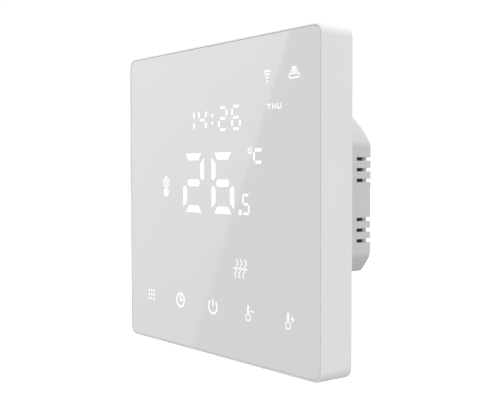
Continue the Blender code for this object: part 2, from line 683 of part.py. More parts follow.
def power_parts():
    """Transformer, capacitors, varistor and fuse standing on the power board."""
    base = POWER_BACK + GAP / 2
    for name, x, z, w, h, t, colour in BLOCKS:
        block = box(name, (x - w / 2, base, z - h / 2), (x + w / 2, base + t, z + h / 2))
        paint(block, name, colour, 0.4)
    can = rod("smoothing_capacitor", CAN_R, base, base + CAN_L, CAN_X, CAN_Z)
    paint(can, "capacitor_sleeve", (0.03, 0.04, 0.08), 0.35)
    disc = rod(
        "varistor", VARISTOR_R, VARISTOR_X - VARISTOR_T / 2, VARISTOR_X + VARISTOR_T / 2,
        base + VARISTOR_R, VARISTOR_Z, axis="X")
    paint(disc, "varistor_epoxy", (0.05, 0.15, 0.45), 0.4)
    fuse = rod(
        "fuse", FUSE_R, FUSE_X - FUSE_L / 2, FUSE_X + FUSE_L / 2, base + FUSE_R, FUSE_Z, axis="X", sides=16)
    paint(fuse, "fuse_glass", (0.75, 0.77, 0.78), 0.15)


# ---- relay ---------------------------------------------------------------------------------------
def relay():
    """Sealed relay: base, cover, coil, yoke with its core, hinged armature and fixed contact."""
    base_y = POWER_BACK + GAP / 2
    top_y = base_y + RELAY_H
    x0, x1 = RELAY_X - RELAY_L / 2, RELAY_X + RELAY_L / 2
    z0, z1 = RELAY_Z - RELAY_W / 2, RELAY_Z + RELAY_W / 2
    wall = RELAY_WALL
    cover = box("relay_cover", (x0, base_y, z0), (x1, top_y, z1))
    cut(cover, tool_box(
        (x0 + wall, base_y - REACH, z0 + wall), (x1 - wall, top_y - wall, z1 - wall)))
    paint(cover, "relay_blue", (0.03, 0.10, 0.35), 0.35)
    inset = wall + GAP
    base_top = base_y + RELAY_BASE_T
    base = box("relay_base", (x0 + inset, base_y, z0 + inset), (x1 - inset, base_top, z1 - inset))
    paint(base, "relay_blue", (0.03, 0.10, 0.35), 0.35)

    floor = base_top + GAP
    left = x0 + wall + 2 * GAP
    axis_y = floor + COIL_R + 2 * GAP
    coil_start = left + YOKE_T + GAP
    coil_end = coil_start + COIL_L
    coil = rod("relay_coil", COIL_R, coil_start, coil_end, axis_y, RELAY_Z, axis="X")
    cut(coil, rod(
        "cutter", CORE_R + GAP, coil_start - REACH, coil_end + REACH, axis_y, RELAY_Z, axis="X",
        group=CUTTERS))
    paint(coil, "coil_copper", (0.55, 0.24, 0.10), 0.35, 0.6)

    core_end = coil_end + CORE_REACH
    bridge_y = axis_y + COIL_R + 2 * GAP
    yoke = box(
        "relay_yoke", (left, floor, RELAY_Z - YOKE_W / 2),
        (left + YOKE_T, bridge_y + YOKE_T, RELAY_Z + YOKE_W / 2))
    join(yoke, box(
        "cutter", (left + YOKE_T / 2, bridge_y, RELAY_Z - YOKE_W / 2 + GAP / 4),
        (core_end, bridge_y + YOKE_T - GAP / 4, RELAY_Z + YOKE_W / 2 - GAP / 4), CUTTERS))
    join(yoke, rod(
        "cutter", CORE_R, left + YOKE_T / 2, core_end, axis_y, RELAY_Z, axis="X", group=CUTTERS))
    paint(yoke, "relay_iron", (0.5, 0.5, 0.5), 0.35, 1.0)

    hinge_y = bridge_y + YOKE_T / 2
    face = core_end + AIR_GAP
    tip_y = floor + 3 * GAP
    armature = box(
        "relay_armature", (face, tip_y, RELAY_Z - YOKE_W / 2),
        (face + YOKE_T, hinge_y, RELAY_Z + YOKE_W / 2),
        origin=(face, hinge_y, RELAY_Z))
    join(armature, tool_box(
        (face - CONTACT_PAD_T, tip_y + GAP, RELAY_Z - PAD_W / 2),
        (face + YOKE_T / 2, tip_y + GAP + PAD_H, RELAY_Z + PAD_W / 2)))
    paint(armature, "relay_iron", (0.5, 0.5, 0.5), 0.35, 1.0)
    contact_face = face - CONTACT_PAD_T - CONTACT_OPEN
    contact = box(
        "relay_fixed_contact", (contact_face - POST_T, floor, RELAY_Z - POST_W / 2),
        (contact_face, floor + POST_H, RELAY_Z + POST_W / 2))
    paint(contact, "contact_silver", (0.75, 0.73, 0.68), 0.25, 1.0)


# ---- terminals -----------------------------------------------------------------------------------
def chamber_span():
    """Low and high y of the hollow that each clamp rises in."""
    low = TERMINAL_Y + TERMINAL_FLOOR
    return low, low + CHAMBER_Y


def clamp_span():
    """Low and high z of a wire clamp."""
    low = TERMINAL_BOTTOM + CLAMP_INSET
    return low, low + CLAMP_L


def contact_leg_z():
    return clamp_span()[1] + CONTACT_T + GAP


def terminal_block():
    """Six-way block: a wire chamber open downward and a screw well open to the back at each way."""
    block = box(
        "terminal_block", (-TERMINAL_W / 2, TERMINAL_Y, TERMINAL_BOTTOM),
        (TERMINAL_W / 2, TERMINAL_BACK, TERMINAL_TOP))
    low, high = chamber_span()
    shoulder = TERMINAL_BACK - WELL_DEPTH
    middle = sum(clamp_span()) / 2
    inner = contact_leg_z() + CONTACT_T / 2 + GAP
    for x in terminal_places():
        half = CHAMBER_W / 2
        cut(block, tool_box((x - half, low, TERMINAL_BOTTOM - REACH), (x + half, high, inner)))
        cut(block, tool_rod(SCREW_HEAD_R + GAP, shoulder, TERMINAL_BACK + REACH, x, middle, 20))
        cut(block, tool_rod(SCREW_SHANK_R + GAP, high - CHAMBER_Y / 2, shoulder + REACH, x, middle, 16))
        leg = CONTACT_T / 2 + GAP
        cut(block, tool_box(
            (x - CONTACT_LEG_W / 2 - GAP, TERMINAL_Y - REACH, contact_leg_z() - leg),
            (x + CONTACT_LEG_W / 2 + GAP, low + CHAMBER_Y / 3, contact_leg_z() + leg)))
    paint(block, "terminal_green", (0.02, 0.28, 0.12), 0.45)


def terminal_metal():
    """Screw, rising clamp and fixed contact of each way."""
    low = chamber_span()[0]
    shoulder = TERMINAL_BACK - WELL_DEPTH
    z0, z1 = clamp_span()
    middle = (z0 + z1) / 2
    clamp_low = low + GAP
    wire_low = clamp_low + CLAMP_WALL
    contact_low = wire_low + CLAMP_ROOM
    contact_high = contact_low + CONTACT_T
    nut_low = contact_high + 3 * GAP / 2
    nut_high = nut_low + CLAMP_NUT_T
    head_low = shoulder + GAP
    for number, x in enumerate(terminal_places(), 1):
        clamp = box(
            f"terminal_clamp_{number}", (x - CLAMP_W / 2, clamp_low, z0), (x + CLAMP_W / 2, nut_high, z1))
        half = SCREW_SHANK_R + SHANK_ROOM
        cut(clamp, tool_box((x - half, wire_low, z0 - REACH), (x + half, nut_low, z1 + REACH)))
        cut(clamp, tool_rod(SCREW_SHANK_R + GAP, nut_low - CONTACT_T / 2, nut_high + REACH, x, middle, 16))
        paint(clamp, "clamp_zinc", (0.66, 0.66, 0.64), 0.35, 1.0)

        screw = rod(
            f"terminal_screw_{number}", SCREW_HEAD_R, head_low, head_low + SCREW_HEAD_T, x, middle, sides=20)
        join(screw, tool_rod(SCREW_SHANK_R, contact_high + GAP, head_low + SCREW_HEAD_T / 2, x, middle, 16))
        slot = SCREW_HEAD_R * 0.18
        cut(screw, tool_box(
            (x - slot, head_low + SCREW_HEAD_T * 0.55, middle - SCREW_HEAD_R - REACH),
            (x + slot, head_low + SCREW_HEAD_T + REACH, middle + SCREW_HEAD_R + REACH)))
        paint(screw, "screw_steel", (0.6, 0.6, 0.62), 0.3, 1.0)

        leg_z = contact_leg_z()
        strip = box(
            f"terminal_contact_{number}", (x - CONTACT_LEG_W / 2, contact_low, z0 + GAP),
            (x + CONTACT_LEG_W / 2, contact_high, leg_z + CONTACT_T / 2))
        join(strip, tool_box(
            (x - CONTACT_LEG_W / 2 + GAP / 4, POWER_Y - CONTACT_TAIL, leg_z - CONTACT_T / 2),
            (x + CONTACT_LEG_W / 2 - GAP / 4, contact_high - CONTACT_T / 4,
             leg_z + CONTACT_T / 2 - GAP / 4)))
        paint(strip, "contact_tin", (0.7, 0.69, 0.66), 0.3, 1.0)


def main():
    front_frame()
    touch_panel()
    panel_adhesive()
    display_stack()
    display_board()
    air_sensor()
    key_springs()
    board_header()
    mounting_plate()
    rear_housing()
    plate_screws()
    power_board()
    board_socket()
    power_parts()
    relay()
    terminal_block()
    terminal_metal()


main()
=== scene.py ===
"""Looks of the slim touch thermostat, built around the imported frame. Lengths are in metres."""
import json
import math

import bmesh
import bpy
from mathutils import Matrix, Vector


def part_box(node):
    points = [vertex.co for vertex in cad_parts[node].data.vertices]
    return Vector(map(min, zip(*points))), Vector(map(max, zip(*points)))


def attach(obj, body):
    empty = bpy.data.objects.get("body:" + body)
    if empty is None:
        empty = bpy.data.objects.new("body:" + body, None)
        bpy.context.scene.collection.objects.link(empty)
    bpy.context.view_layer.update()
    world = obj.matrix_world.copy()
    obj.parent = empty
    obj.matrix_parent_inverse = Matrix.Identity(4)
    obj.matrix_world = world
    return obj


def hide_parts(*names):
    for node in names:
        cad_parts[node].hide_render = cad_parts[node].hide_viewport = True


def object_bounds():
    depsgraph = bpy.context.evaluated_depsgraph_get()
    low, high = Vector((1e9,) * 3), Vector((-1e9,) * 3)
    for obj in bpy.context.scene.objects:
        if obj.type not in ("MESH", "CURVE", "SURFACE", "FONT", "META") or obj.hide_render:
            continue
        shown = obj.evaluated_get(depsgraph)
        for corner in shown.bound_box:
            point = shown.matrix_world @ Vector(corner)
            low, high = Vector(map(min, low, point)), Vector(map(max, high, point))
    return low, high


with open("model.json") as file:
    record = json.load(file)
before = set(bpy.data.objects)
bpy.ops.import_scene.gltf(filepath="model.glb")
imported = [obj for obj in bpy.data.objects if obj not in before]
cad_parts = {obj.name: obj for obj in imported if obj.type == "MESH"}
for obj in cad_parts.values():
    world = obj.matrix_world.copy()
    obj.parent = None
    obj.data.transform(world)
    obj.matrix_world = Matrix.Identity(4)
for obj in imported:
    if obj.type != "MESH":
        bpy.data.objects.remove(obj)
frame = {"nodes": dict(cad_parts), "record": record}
cad_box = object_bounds()

MM = 0.001
PANEL_LOW, PANEL_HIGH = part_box("touch_panel")
HOUSING_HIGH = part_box("rear_housing")[1]
BOARD_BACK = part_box("display_board")[1].y
BLOCK_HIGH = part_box("terminal_block")[1]
FACE_Y = PANEL_LOW.y
PANEL_X = (PANEL_LOW.x + PANEL_HIGH.x) / 2
PANEL_Z = (PANEL_LOW.z + PANEL_HIGH.z) / 2
BODY_OF = {n: body for body, nodes in frame["record"]["behaviour"]["bodies"].items() for n in nodes}


# ---- camera --------------------------------------------------------------------------------------
CAMERA_TURN = math.radians(53.18)       # from straight on towards the right side
CAMERA_RISE = math.radians(1.68)
CAMERA_ROLL = math.radians(-0.14)
CAMERA_DISTANCE = 0.2432
CAMERA_LEFT = -0.0087
CAMERA_DOWN = -0.00015
LENS_MM = 62.06
SENSOR_MM = 36.0
SHIFT_X = 0.0802


def add_camera():
    data = bpy.data.cameras.new("camera")
    data.lens = LENS_MM
    data.sensor_width = SENSOR_MM
    data.shift_x = SHIFT_X
    data.clip_start = 0.01
    camera = bpy.data.objects.new("camera", data)
    bpy.context.scene.collection.objects.link(camera)
    back = Vector((
        math.sin(CAMERA_TURN) * math.cos(CAMERA_RISE), -math.cos(CAMERA_TURN) * math.cos(CAMERA_RISE),
        math.sin(CAMERA_RISE)))
    right = Vector((math.cos(CAMERA_TURN), math.sin(CAMERA_TURN), 0.0))
    up = back.cross(right)
    rolled_right = math.cos(CAMERA_ROLL) * right + math.sin(CAMERA_ROLL) * up
    rolled_up = -math.sin(CAMERA_ROLL) * right + math.cos(CAMERA_ROLL) * up
    place = CAMERA_DISTANCE * back + CAMERA_LEFT * rolled_right + CAMERA_DOWN * rolled_up
    turn = Matrix((rolled_right, rolled_up, back)).transposed().to_4x4()
    camera.matrix_world = Matrix.Translation(place) @ turn
    bpy.context.scene.camera = camera
    return place


EYE = add_camera()
bpy.context.scene.view_settings.view_transform = "Standard"
bpy.context.scene.view_settings.look = "None"


# ---- light and floor -----------------------------------------------------------------------------
BACKDROP = 1.02             # strength of the white that only the eye sees
FILL_LOW = 0.42             # strength of the light from all round, straight up from below
FILL_HIGH = 1.30            # and straight down from above
TOP_WATTS = 0.5
RIGHT_WATTS = 0.1
CARD_WATTS = 0.115
CARD_SPREAD = math.radians(70)
CARD_DISTANCE = 0.60        # to its upper end
CARD_LOWER_DISTANCE = 0.655
CARD_WIDTH = 0.30
CARD_HEIGHT = 0.60
CARD_EDGE_TOP_X = 0.0320    # where the mirrored edge of the card crosses the panel
CARD_EDGE_BOTTOM_X = -0.0100


def world_light():
    """White backdrop to the eye, and a soft light from all round that is weaker from below."""
    world = bpy.data.worlds.new("studio")
    world.use_nodes = True
    nodes, links = world.node_tree.nodes, world.node_tree.links
    nodes.clear()
    seen = nodes.new("ShaderNodeBackground")
    seen.inputs["Strength"].default_value = BACKDROP
    seen.inputs["Color"].default_value = (1.0, 1.0, 1.0, 1.0)
    fill = nodes.new("ShaderNodeBackground")
    fill.inputs["Color"].default_value = (1.0, 1.0, 1.0, 1.0)
    direction = nodes.new("ShaderNodeTexCoord")
    split = nodes.new("ShaderNodeSeparateXYZ")
    height = nodes.new("ShaderNodeMapRange")
    height.inputs["From Min"].default_value = -1.0
    height.inputs["To Min"].default_value = FILL_LOW
    height.inputs["To Max"].default_value = FILL_HIGH
    links.new(direction.outputs["Generated"], split.inputs["Vector"])
    links.new(split.outputs["Z"], height.inputs["Value"])
    links.new(height.outputs["Result"], fill.inputs["Strength"])
    path = nodes.new("ShaderNodeLightPath")
    mix = nodes.new("ShaderNodeMixShader")
    out = nodes.new("ShaderNodeOutputWorld")
    links.new(path.outputs["Is Camera Ray"], mix.inputs["Fac"])
    links.new(fill.outputs[0], mix.inputs[1])
    links.new(seen.outputs[0], mix.inputs[2])
    links.new(mix.outputs[0], out.inputs["Surface"])
    bpy.context.scene.world = world


def area_light(name, turn, place, width, height, watts, spread=math.pi):
    data = bpy.data.lights.new(name, "AREA")
    data.shape = "RECTANGLE"
    data.size = width
    data.size_y = height
    data.energy = watts
    data.spread = spread
    light = bpy.data.objects.new(name, data)
    light.matrix_world = Matrix.Translation(place) @ turn.to_4x4()
    light.visible_camera = False
    bpy.context.scene.collection.objects.link(light)


def soft_box(name, place, width, height, watts):
    """Area light that faces the object."""
    area_light(name, (-Vector(place)).to_track_quat("-Z", "Y").to_matrix(), place, width, height, watts)


def reflected_card():
    """Card on the left whose right edge is mirrored as a slanted line across the touch panel."""
    mirror_eye = Vector((EYE.x, 2 * FACE_Y - EYE.y, EYE.z))

    def beyond(x, z, distance):
        on_panel = Vector((x, FACE_Y, z))
        return on_panel + distance * (on_panel - mirror_eye).normalized()

    upper = beyond(CARD_EDGE_TOP_X, PANEL_HIGH.z, CARD_DISTANCE)
    lower = beyond(CARD_EDGE_BOTTOM_X, PANEL_LOW.z, CARD_LOWER_DISTANCE)
    along = (upper - lower).normalized()
    outward = ((upper + lower) / 2 - mirror_eye).normalized()
    outward = (outward - outward.dot(along) * along).normalized()
    right = along.cross(outward)
    centre = (upper + lower) / 2 - right * (CARD_WIDTH / 2 if right.x > 0 else -CARD_WIDTH / 2)
    turn = Matrix((right, along, outward)).transposed()
    area_light("card", turn, centre, CARD_WIDTH, CARD_HEIGHT, CARD_WATTS, CARD_SPREAD)


world_light()
reflected_card()
soft_box("top_soft", (0.1, -0.2, 0.9), 0.8, 0.8, TOP_WATTS)
soft_box("right_soft", (0.9, 0.1, 0.25), 0.6, 0.8, RIGHT_WATTS)


FLOOR_DROP = 0.12           # below the object, which would hang on a wall
FLOOR_HALF = 8.0
FLOOR_GLOW = 0.7


def add_floor():
    """Plain pale floor that shows white and throws no light up at the object."""
    shape = bmesh.new()
    bmesh.ops.create_grid(shape, x_segments=1, y_segments=1, size=FLOOR_HALF)
    mesh = bpy.data.meshes.new("floor")
    shape.to_mesh(mesh)
    shape.free()
    floor = bpy.data.objects.new("floor", mesh)
    floor.location = (0, 0, cad_box[0][2] - FLOOR_DROP)
    floor.visible_diffuse = False
    floor.visible_glossy = False
    bpy.context.scene.collection.objects.link(floor)
    pale = bpy.data.materials.new("pale_floor")
    pale.use_nodes = True
    shader = pale.node_tree.nodes["Principled BSDF"]
    shader.inputs["Base Color"].default_value = (0.96, 0.96, 0.96, 1)
    shader.inputs["Roughness"].default_value = 0.9
    shader.inputs["Emission Color"].default_value = (1, 1, 1, 1)
    shader.inputs["Emission Strength"].default_value = FLOOR_GLOW
    mesh.materials.append(pale)


add_floor()


# ---- materials -----------------------------------------------------------------------------------
GRAIN_SCALE = 3500.0
GRAIN_DETAIL = 2.0
DRIFT_DETAIL = 4.0


def noise_field(nodes, links, coords, scale, detail, stretch=(1, 1, 1)):
    """Noise over the object's own coordinates, drawn out along an axis where stretch is small."""
    place = nodes.new("ShaderNodeMapping")
    place.inputs["Scale"].default_value = stretch
    noise = nodes.new("ShaderNodeTexNoise")
    noise.inputs["Scale"].default_value = scale
    noise.inputs["Detail"].default_value = detail
    links.new(coords, place.inputs["Vector"])
    links.new(place.outputs["Vector"], noise.inputs["Vector"])
    return noise.outputs["Fac"]


def surface(name, colour, roughness, grain, drift, metallic=0.0, drift_scale=60.0, rough_drift=0.05,
            stretch=(1, 1, 1), glow=0.0):
    """A material whose colour drifts by a share, with a fine grain, in mm, as bump and in the gloss."""
    made = bpy.data.materials.new(name)
    made.use_nodes = True
    nodes, links = made.node_tree.nodes, made.node_tree.links
    shader = nodes["Principled BSDF"]
    coords = nodes.new("ShaderNodeTexCoord").outputs["Object"]
    cloud = noise_field(nodes, links, coords, drift_scale, DRIFT_DETAIL)
    fine = noise_field(nodes, links, coords, GRAIN_SCALE, GRAIN_DETAIL, stretch)

    ramp = nodes.new("ShaderNodeValToRGB")
    dark = [c * (1 - drift) for c in colour]
    light = [min(1.0, c * (1 + drift)) for c in colour]
    ramp.color_ramp.elements[0].position = 0.3
    ramp.color_ramp.elements[0].color = (*dark, 1)
    ramp.color_ramp.elements[1].position = 0.7
    ramp.color_ramp.elements[1].color = (*light, 1)
    links.new(cloud, ramp.inputs["Fac"])
    links.new(ramp.outputs["Color"], shader.inputs["Base Color"])

    gloss = nodes.new("ShaderNodeMapRange")
    gloss.inputs["To Min"].default_value = max(0.02, roughness - rough_drift)
    gloss.inputs["To Max"].default_value = roughness + rough_drift
    links.new(fine, gloss.inputs["Value"])
    links.new(gloss.outputs["Result"], shader.inputs["Roughness"])

    bump = nodes.new("ShaderNodeBump")
    bump.inputs["Strength"].default_value = 1.0
    bump.inputs["Distance"].default_value = grain * MM
    links.new(fine, bump.inputs["Height"])
    links.new(bump.outputs["Normal"], shader.inputs["Normal"])

    shader.inputs["Metallic"].default_value = metallic
    if glow:
        shader.inputs["Emission Color"].default_value = (*colour, 1)
        shader.inputs["Emission Strength"].default_value = glow
    return made


FRAME_WHITE = surface("frame_white", (0.83, 0.83, 0.83), 0.28, grain=0.002, drift=0.012, rough_drift=0.03)
PANEL_PRINT = surface("panel_print", (0.72, 0.72, 0.72), 0.035, grain=0.0, drift=0.006, rough_drift=0.005)
SIGN_LIGHT = surface("sign_light", (0.98, 0.98, 0.98), 0.12, grain=0.0, drift=0.0, glow=0.14)
REAR_PLASTIC = surface("rear_plastic", (0.66, 0.66, 0.66), 0.42, grain=0.006, drift=0.02)
PLATE_ZINC = surface(
    "plate_zinc", (0.60, 0.61, 0.62), 0.36, metallic=1.0, grain=0.006, drift=0.07, drift_scale=900,
    rough_drift=0.10, stretch=(1, 1, 0.04))
SCREW_STEEL = surface("screw_steel", (0.62, 0.62, 0.64), 0.30, metallic=1.0, grain=0.003, drift=0.08)
IRON = surface("relay_iron", (0.45, 0.45, 0.46), 0.38, metallic=1.0, grain=0.004, drift=0.08)
TINNED = surface("tinned_brass", (0.70, 0.68, 0.62), 0.30, metallic=1.0, grain=0.003, drift=0.08)
SPRING = surface("spring_wire", (0.68, 0.62, 0.48), 0.25, metallic=1.0, grain=0.002, drift=0.05)
BOARD_GREEN = surface("board_green", (0.02, 0.16, 0.06), 0.35, grain=0.003, drift=0.18, drift_scale=240)
CHIP_BLACK = surface("chip_black", (0.025, 0.025, 0.027), 0.5, grain=0.004, drift=0.15)
CONNECTOR = surface("connector_black", (0.02, 0.02, 0.022), 0.42, grain=0.004, drift=0.15)
MODULE_CAN = surface("module_can", (0.66, 0.66, 0.66), 0.34, metallic=1.0, grain=0.003, drift=0.06)
TERMINAL_GREEN = surface("terminal_green", (0.02, 0.22, 0.08), 0.42, grain=0.004, drift=0.08)
LIGHT_BOX = surface("light_box_white", (0.85, 0.85, 0.84), 0.5, grain=0.004, drift=0.02)
DIFFUSER = surface("diffuser_film", (0.9, 0.9, 0.9), 0.4, grain=0.002, drift=0.01)
ADHESIVE = surface("adhesive_foam", (0.70, 0.70, 0.68), 0.7, grain=0.01, drift=0.05)
RELAY_BLUE = surface("relay_blue", (0.03, 0.10, 0.36), 0.3, grain=0.003, drift=0.05)
COIL_COPPER = surface(
    "coil_copper", (0.55, 0.24, 0.10), 0.35, metallic=0.8, grain=0.02, drift=0.10, stretch=(1, 0.02, 0.02))
TAPE_YELLOW = surface("tape_yellow", (0.72, 0.55, 0.05), 0.35, grain=0.003, drift=0.06)
CASE_YELLOW = surface("case_yellow", (0.65, 0.50, 0.05), 0.4, grain=0.003, drift=0.06)
CAN_SLEEVE = surface("can_sleeve", (0.03, 0.035, 0.07), 0.32, grain=0.002, drift=0.1)
VARISTOR_BLUE = surface("varistor_blue", (0.03, 0.12, 0.42), 0.4, grain=0.006, drift=0.08)
FUSE_TUBE = surface("fuse_tube", (0.75, 0.75, 0.70), 0.35, grain=0.002, drift=0.05)
CLAMP_ZINC = surface("clamp_zinc", (0.66, 0.66, 0.64), 0.34, metallic=1.0, grain=0.003, drift=0.08)
FERRITE = surface("ferrite", (0.06, 0.06, 0.062), 0.55, grain=0.006, drift=0.15)
SOLDER = surface("solder", (0.72, 0.72, 0.71), 0.22, metallic=1.0, grain=0.002, drift=0.06)
SMALL_PART = surface("small_part", (0.16, 0.12, 0.09), 0.5, grain=0.003, drift=0.10)
MARK = surface("moulded_mark", (0.70, 0.74, 0.70), 0.5, grain=0.002, drift=0.02)
GOLD = surface("gold_trace", (0.75, 0.58, 0.25), 0.3, metallic=1.0, grain=0.001, drift=0.05)
SENSOR = surface("sensor_epoxy", (0.02, 0.02, 0.02), 0.25, grain=0.004, drift=0.1)


# ---- pieces --------------------------------------------------------------------------------------
SHARP_FROM = math.radians(35)


def add_piece(name, shape, material, body, replaces=()):
    """Make a finished bmesh into a piece of the object."""
    mesh = bpy.data.meshes.new(name)
    shape.to_mesh(mesh)
    shape.free()
    mesh.materials.append(material)
    mesh.shade_smooth()
    mesh.set_sharp_from_angle(angle=SHARP_FROM)
    piece = bpy.data.objects.new(name, mesh)
    bpy.context.scene.collection.objects.link(piece)
    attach(piece, body)
    if replaces:
        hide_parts(*replaces)
    return piece


def finish(name, shape, material, body, replaces=()):
    """Turn a new shape's faces outwards and make it a piece."""
    bmesh.ops.recalc_face_normals(shape, faces=shape.faces)
    add_piece(name, shape, material, body, replaces)


def welded(node):
    """Copy of a CAD node's mesh with its doubles merged and its flat faces whole."""
    shape = bmesh.new()
    shape.from_mesh(frame["nodes"][node].data)
    bmesh.ops.remove_doubles(shape, verts=shape.verts, dist=1e-6)
    bmesh.ops.dissolve_limit(
        shape, angle_limit=math.radians(0.6), verts=shape.verts, edges=shape.edges)
    return shape


def even_shading(piece):
    even = piece.modifiers.new("even_shading", "WEIGHTED_NORMAL")
    even.keep_sharp = True


def eased(shape, edges, width, segments):
    """Round edges of a shape."""
    bmesh.ops.bevel(
        shape, geom=edges, offset=width, offset_type="OFFSET", segments=segments, profile=0.5,
        affect="EDGES", clamp_overlap=True, material=-1)


def polished(node, material, edge=0.0):
    """Stand-in for a CAD node with the same shape, smoothly shaded and with its edges eased."""
    piece = add_piece(node + "_shell", welded(node), material, BODY_OF[node], (node,))
    if edge:
        ease = piece.modifiers.new("eased_edges", "BEVEL")
        ease.width = edge
        ease.segments = 2
        ease.limit_method = "ANGLE"
        ease.angle_limit = math.radians(50)
        ease.harden_normals = True
        ease.use_clamp_overlap = True
    even_shading(piece)


FLAT_EDGE_ROUND = 1.0 * MM      # where the side flats meet the drum
FLAT_EDGE_SHORTEST = 8 * MM
FLAT_EDGE_FROM_SIDE = 4.5 * MM
BACK_EDGE_ROUND = 0.2 * MM


def outer_corner(edge, least_angle):
    """Whether an edge stands out and turns by more than an angle in degrees."""
    outward = len(edge.link_faces) == 2 and edge.is_convex
    return outward and edge.calc_face_angle() > math.radians(least_angle)


def is_flat_edge(edge):
    """Whether an edge runs front to back at a corner of the drum, outside and away from the vents."""
    run = edge.verts[1].co - edge.verts[0].co
    x, z = abs(edge.verts[0].co.x), abs(edge.verts[0].co.z)
    along = abs(run.y) > 0.99 * run.length and run.length > FLAT_EDGE_SHORTEST
    outside = x > HOUSING_HIGH.x - FLAT_EDGE_FROM_SIDE and z > 0.5 * HOUSING_HIGH.z - MM
    return along and outside and outer_corner(edge, 20)


def is_back_edge(edge):
    at_back = all(v.co.y > HOUSING_HIGH.y - 1e-5 for v in edge.verts)
    return at_back and outer_corner(edge, 60)


def rounded_housing():
    """Housing with the long edges of its flats and the rim of its back rounded."""
    shape = welded("rear_housing")
    eased(shape, [e for e in shape.edges if is_flat_edge(e)], FLAT_EDGE_ROUND, 5)
    eased(shape, [e for e in shape.edges if is_back_edge(e)], BACK_EDGE_ROUND, 3)
    even_shading(add_piece(
        "rear_housing_shell", shape, REAR_PLASTIC, "root", ("rear_housing",)))


def named(*starts):
    return [n for n in sorted(frame["nodes"]) if n.startswith(starts)]


polished("front_frame", FRAME_WHITE)
polished("touch_panel", PANEL_PRINT)
rounded_housing()
polished("mounting_plate", PLATE_ZINC, edge=0.12 * MM)
polished("terminal_block", TERMINAL_GREEN, edge=0.12 * MM)
for node in named("terminal_screw", "plate_screw", "power_board_screw", "display_board_screw"):
    polished(node, SCREW_STEEL, edge=0.06 * MM)
for node in named("terminal_clamp"):
    polished(node, CLAMP_ZINC)
for node in named("terminal_contact", "relay_fixed"):
    polished(node, TINNED, edge=0.04 * MM)
for node in named("touch_spring"):
    polished(node, SPRING)
for node in ("relay_yoke", "relay_armature"):
    polished(node, IRON, edge=0.08 * MM)
for node in ("display_board", "power_board"):
    polished(node, BOARD_GREEN)
for node in ("main_chip", "display_driver"):
    polished(node, CHIP_BLACK, edge=0.10 * MM)
for node in ("board_header", "board_socket"):
    polished(node, CONNECTOR, edge=0.04 * MM)
polished("display_light_box", LIGHT_BOX, edge=0.10 * MM)
polished("display_diffuser", DIFFUSER)
polished("panel_adhesive", ADHESIVE)
polished("relay_cover", RELAY_BLUE, edge=0.30 * MM)
polished("relay_base", RELAY_BLUE, edge=0.10 * MM)
polished("relay_coil", COIL_COPPER, edge=0.10 * MM)
polished("input_capacitor", CASE_YELLOW, edge=0.35 * MM)
polished("varistor", VARISTOR_BLUE, edge=0.90 * MM)
polished("fuse", FUSE_TUBE, edge=0.15 * MM)
polished("air_sensor", SENSOR, edge=0.20 * MM)


# ---- signs on the touch panel --------------------------------------------------------------------
SIGN_LIFT = 0.03 * MM       # how far a sign stands out of the panel
SIGN_SINK = 0.05 * MM
SIGN_RISE = (0, -SIGN_SINK - SIGN_LIFT, 0)
DISC_SIDES = 20
RING_SIDES = 36


def thicken(shape, faces, rise):
    """Extrude faces by a vector."""
    grown = bmesh.ops.extrude_face_region(shape, geom=faces)["geom"]
    moved = [v for v in grown if isinstance(v, bmesh.types.BMVert)]
    bmesh.ops.translate(shape, vec=rise, verts=moved)


def sunk_corner(shape, x, z):
    """Vertex below the surface at a place in millimetres from the middle of the panel."""
    return shape.verts.new((PANEL_X + x * MM, FACE_Y + SIGN_SINK, PANEL_Z + z * MM))


def flat_shape(shape, corners):
    """One outline, in millimetres on the panel, with the thickness of a sign."""
    face = shape.faces.new([sunk_corner(shape, x, z) for x, z in corners])
    thicken(shape, [face], SIGN_RISE)


def bar(shape, x0, x1, z0, z1):
    flat_shape(shape, [(x0, z0), (x1, z0), (x1, z1), (x0, z1)])


def stroke(shape, start, end, width):
    """A straight line with square ends."""
    a, b = Vector(start), Vector(end)
    side = (b - a).orthogonal().normalized() * width / 2
    flat_shape(shape, [tuple(a + side), tuple(b + side), tuple(b - side), tuple(a - side)])


def disc(shape, x, z, radius):
    steps = [2 * math.pi * i / DISC_SIDES for i in range(DISC_SIDES)]
    flat_shape(shape, [(x + radius * math.cos(t), z + radius * math.sin(t)) for t in steps])


def ring(shape, x, z, radius, width, start=0.0, end=360.0):
    """A round line about (x, z), measured to its middle, between two angles in degrees."""
    sweep = math.radians(end - start)
    full = end - start >= 360
    centre = Vector((PANEL_X + x * MM, FACE_Y, PANEL_Z + z * MM))
    first = math.radians(start)
    ray = Vector((math.cos(first), 0, math.sin(first)))
    inner = centre + ray * (radius - width / 2) * MM
    outer = centre + ray * (radius + width / 2) * MM
    rise = Vector((0, -SIGN_LIFT, 0))
    sink = Vector((0, SIGN_SINK, 0))
    section = [shape.verts.new(p) for p in (inner + sink, outer + sink, outer + rise, inner + rise)]
    face = shape.faces.new(section)
    geom = section + list(face.edges)
    if full:
        bmesh.ops.delete(shape, geom=[face], context="FACES_ONLY")
    else:
        geom.append(face)
    steps = max(3, round(RING_SIDES * sweep / (2 * math.pi)))
    bmesh.ops.spin(
        shape, geom=geom, cent=centre, axis=(0, -1, 0), angle=sweep, steps=steps, use_merge=full,
        use_duplicate=False)


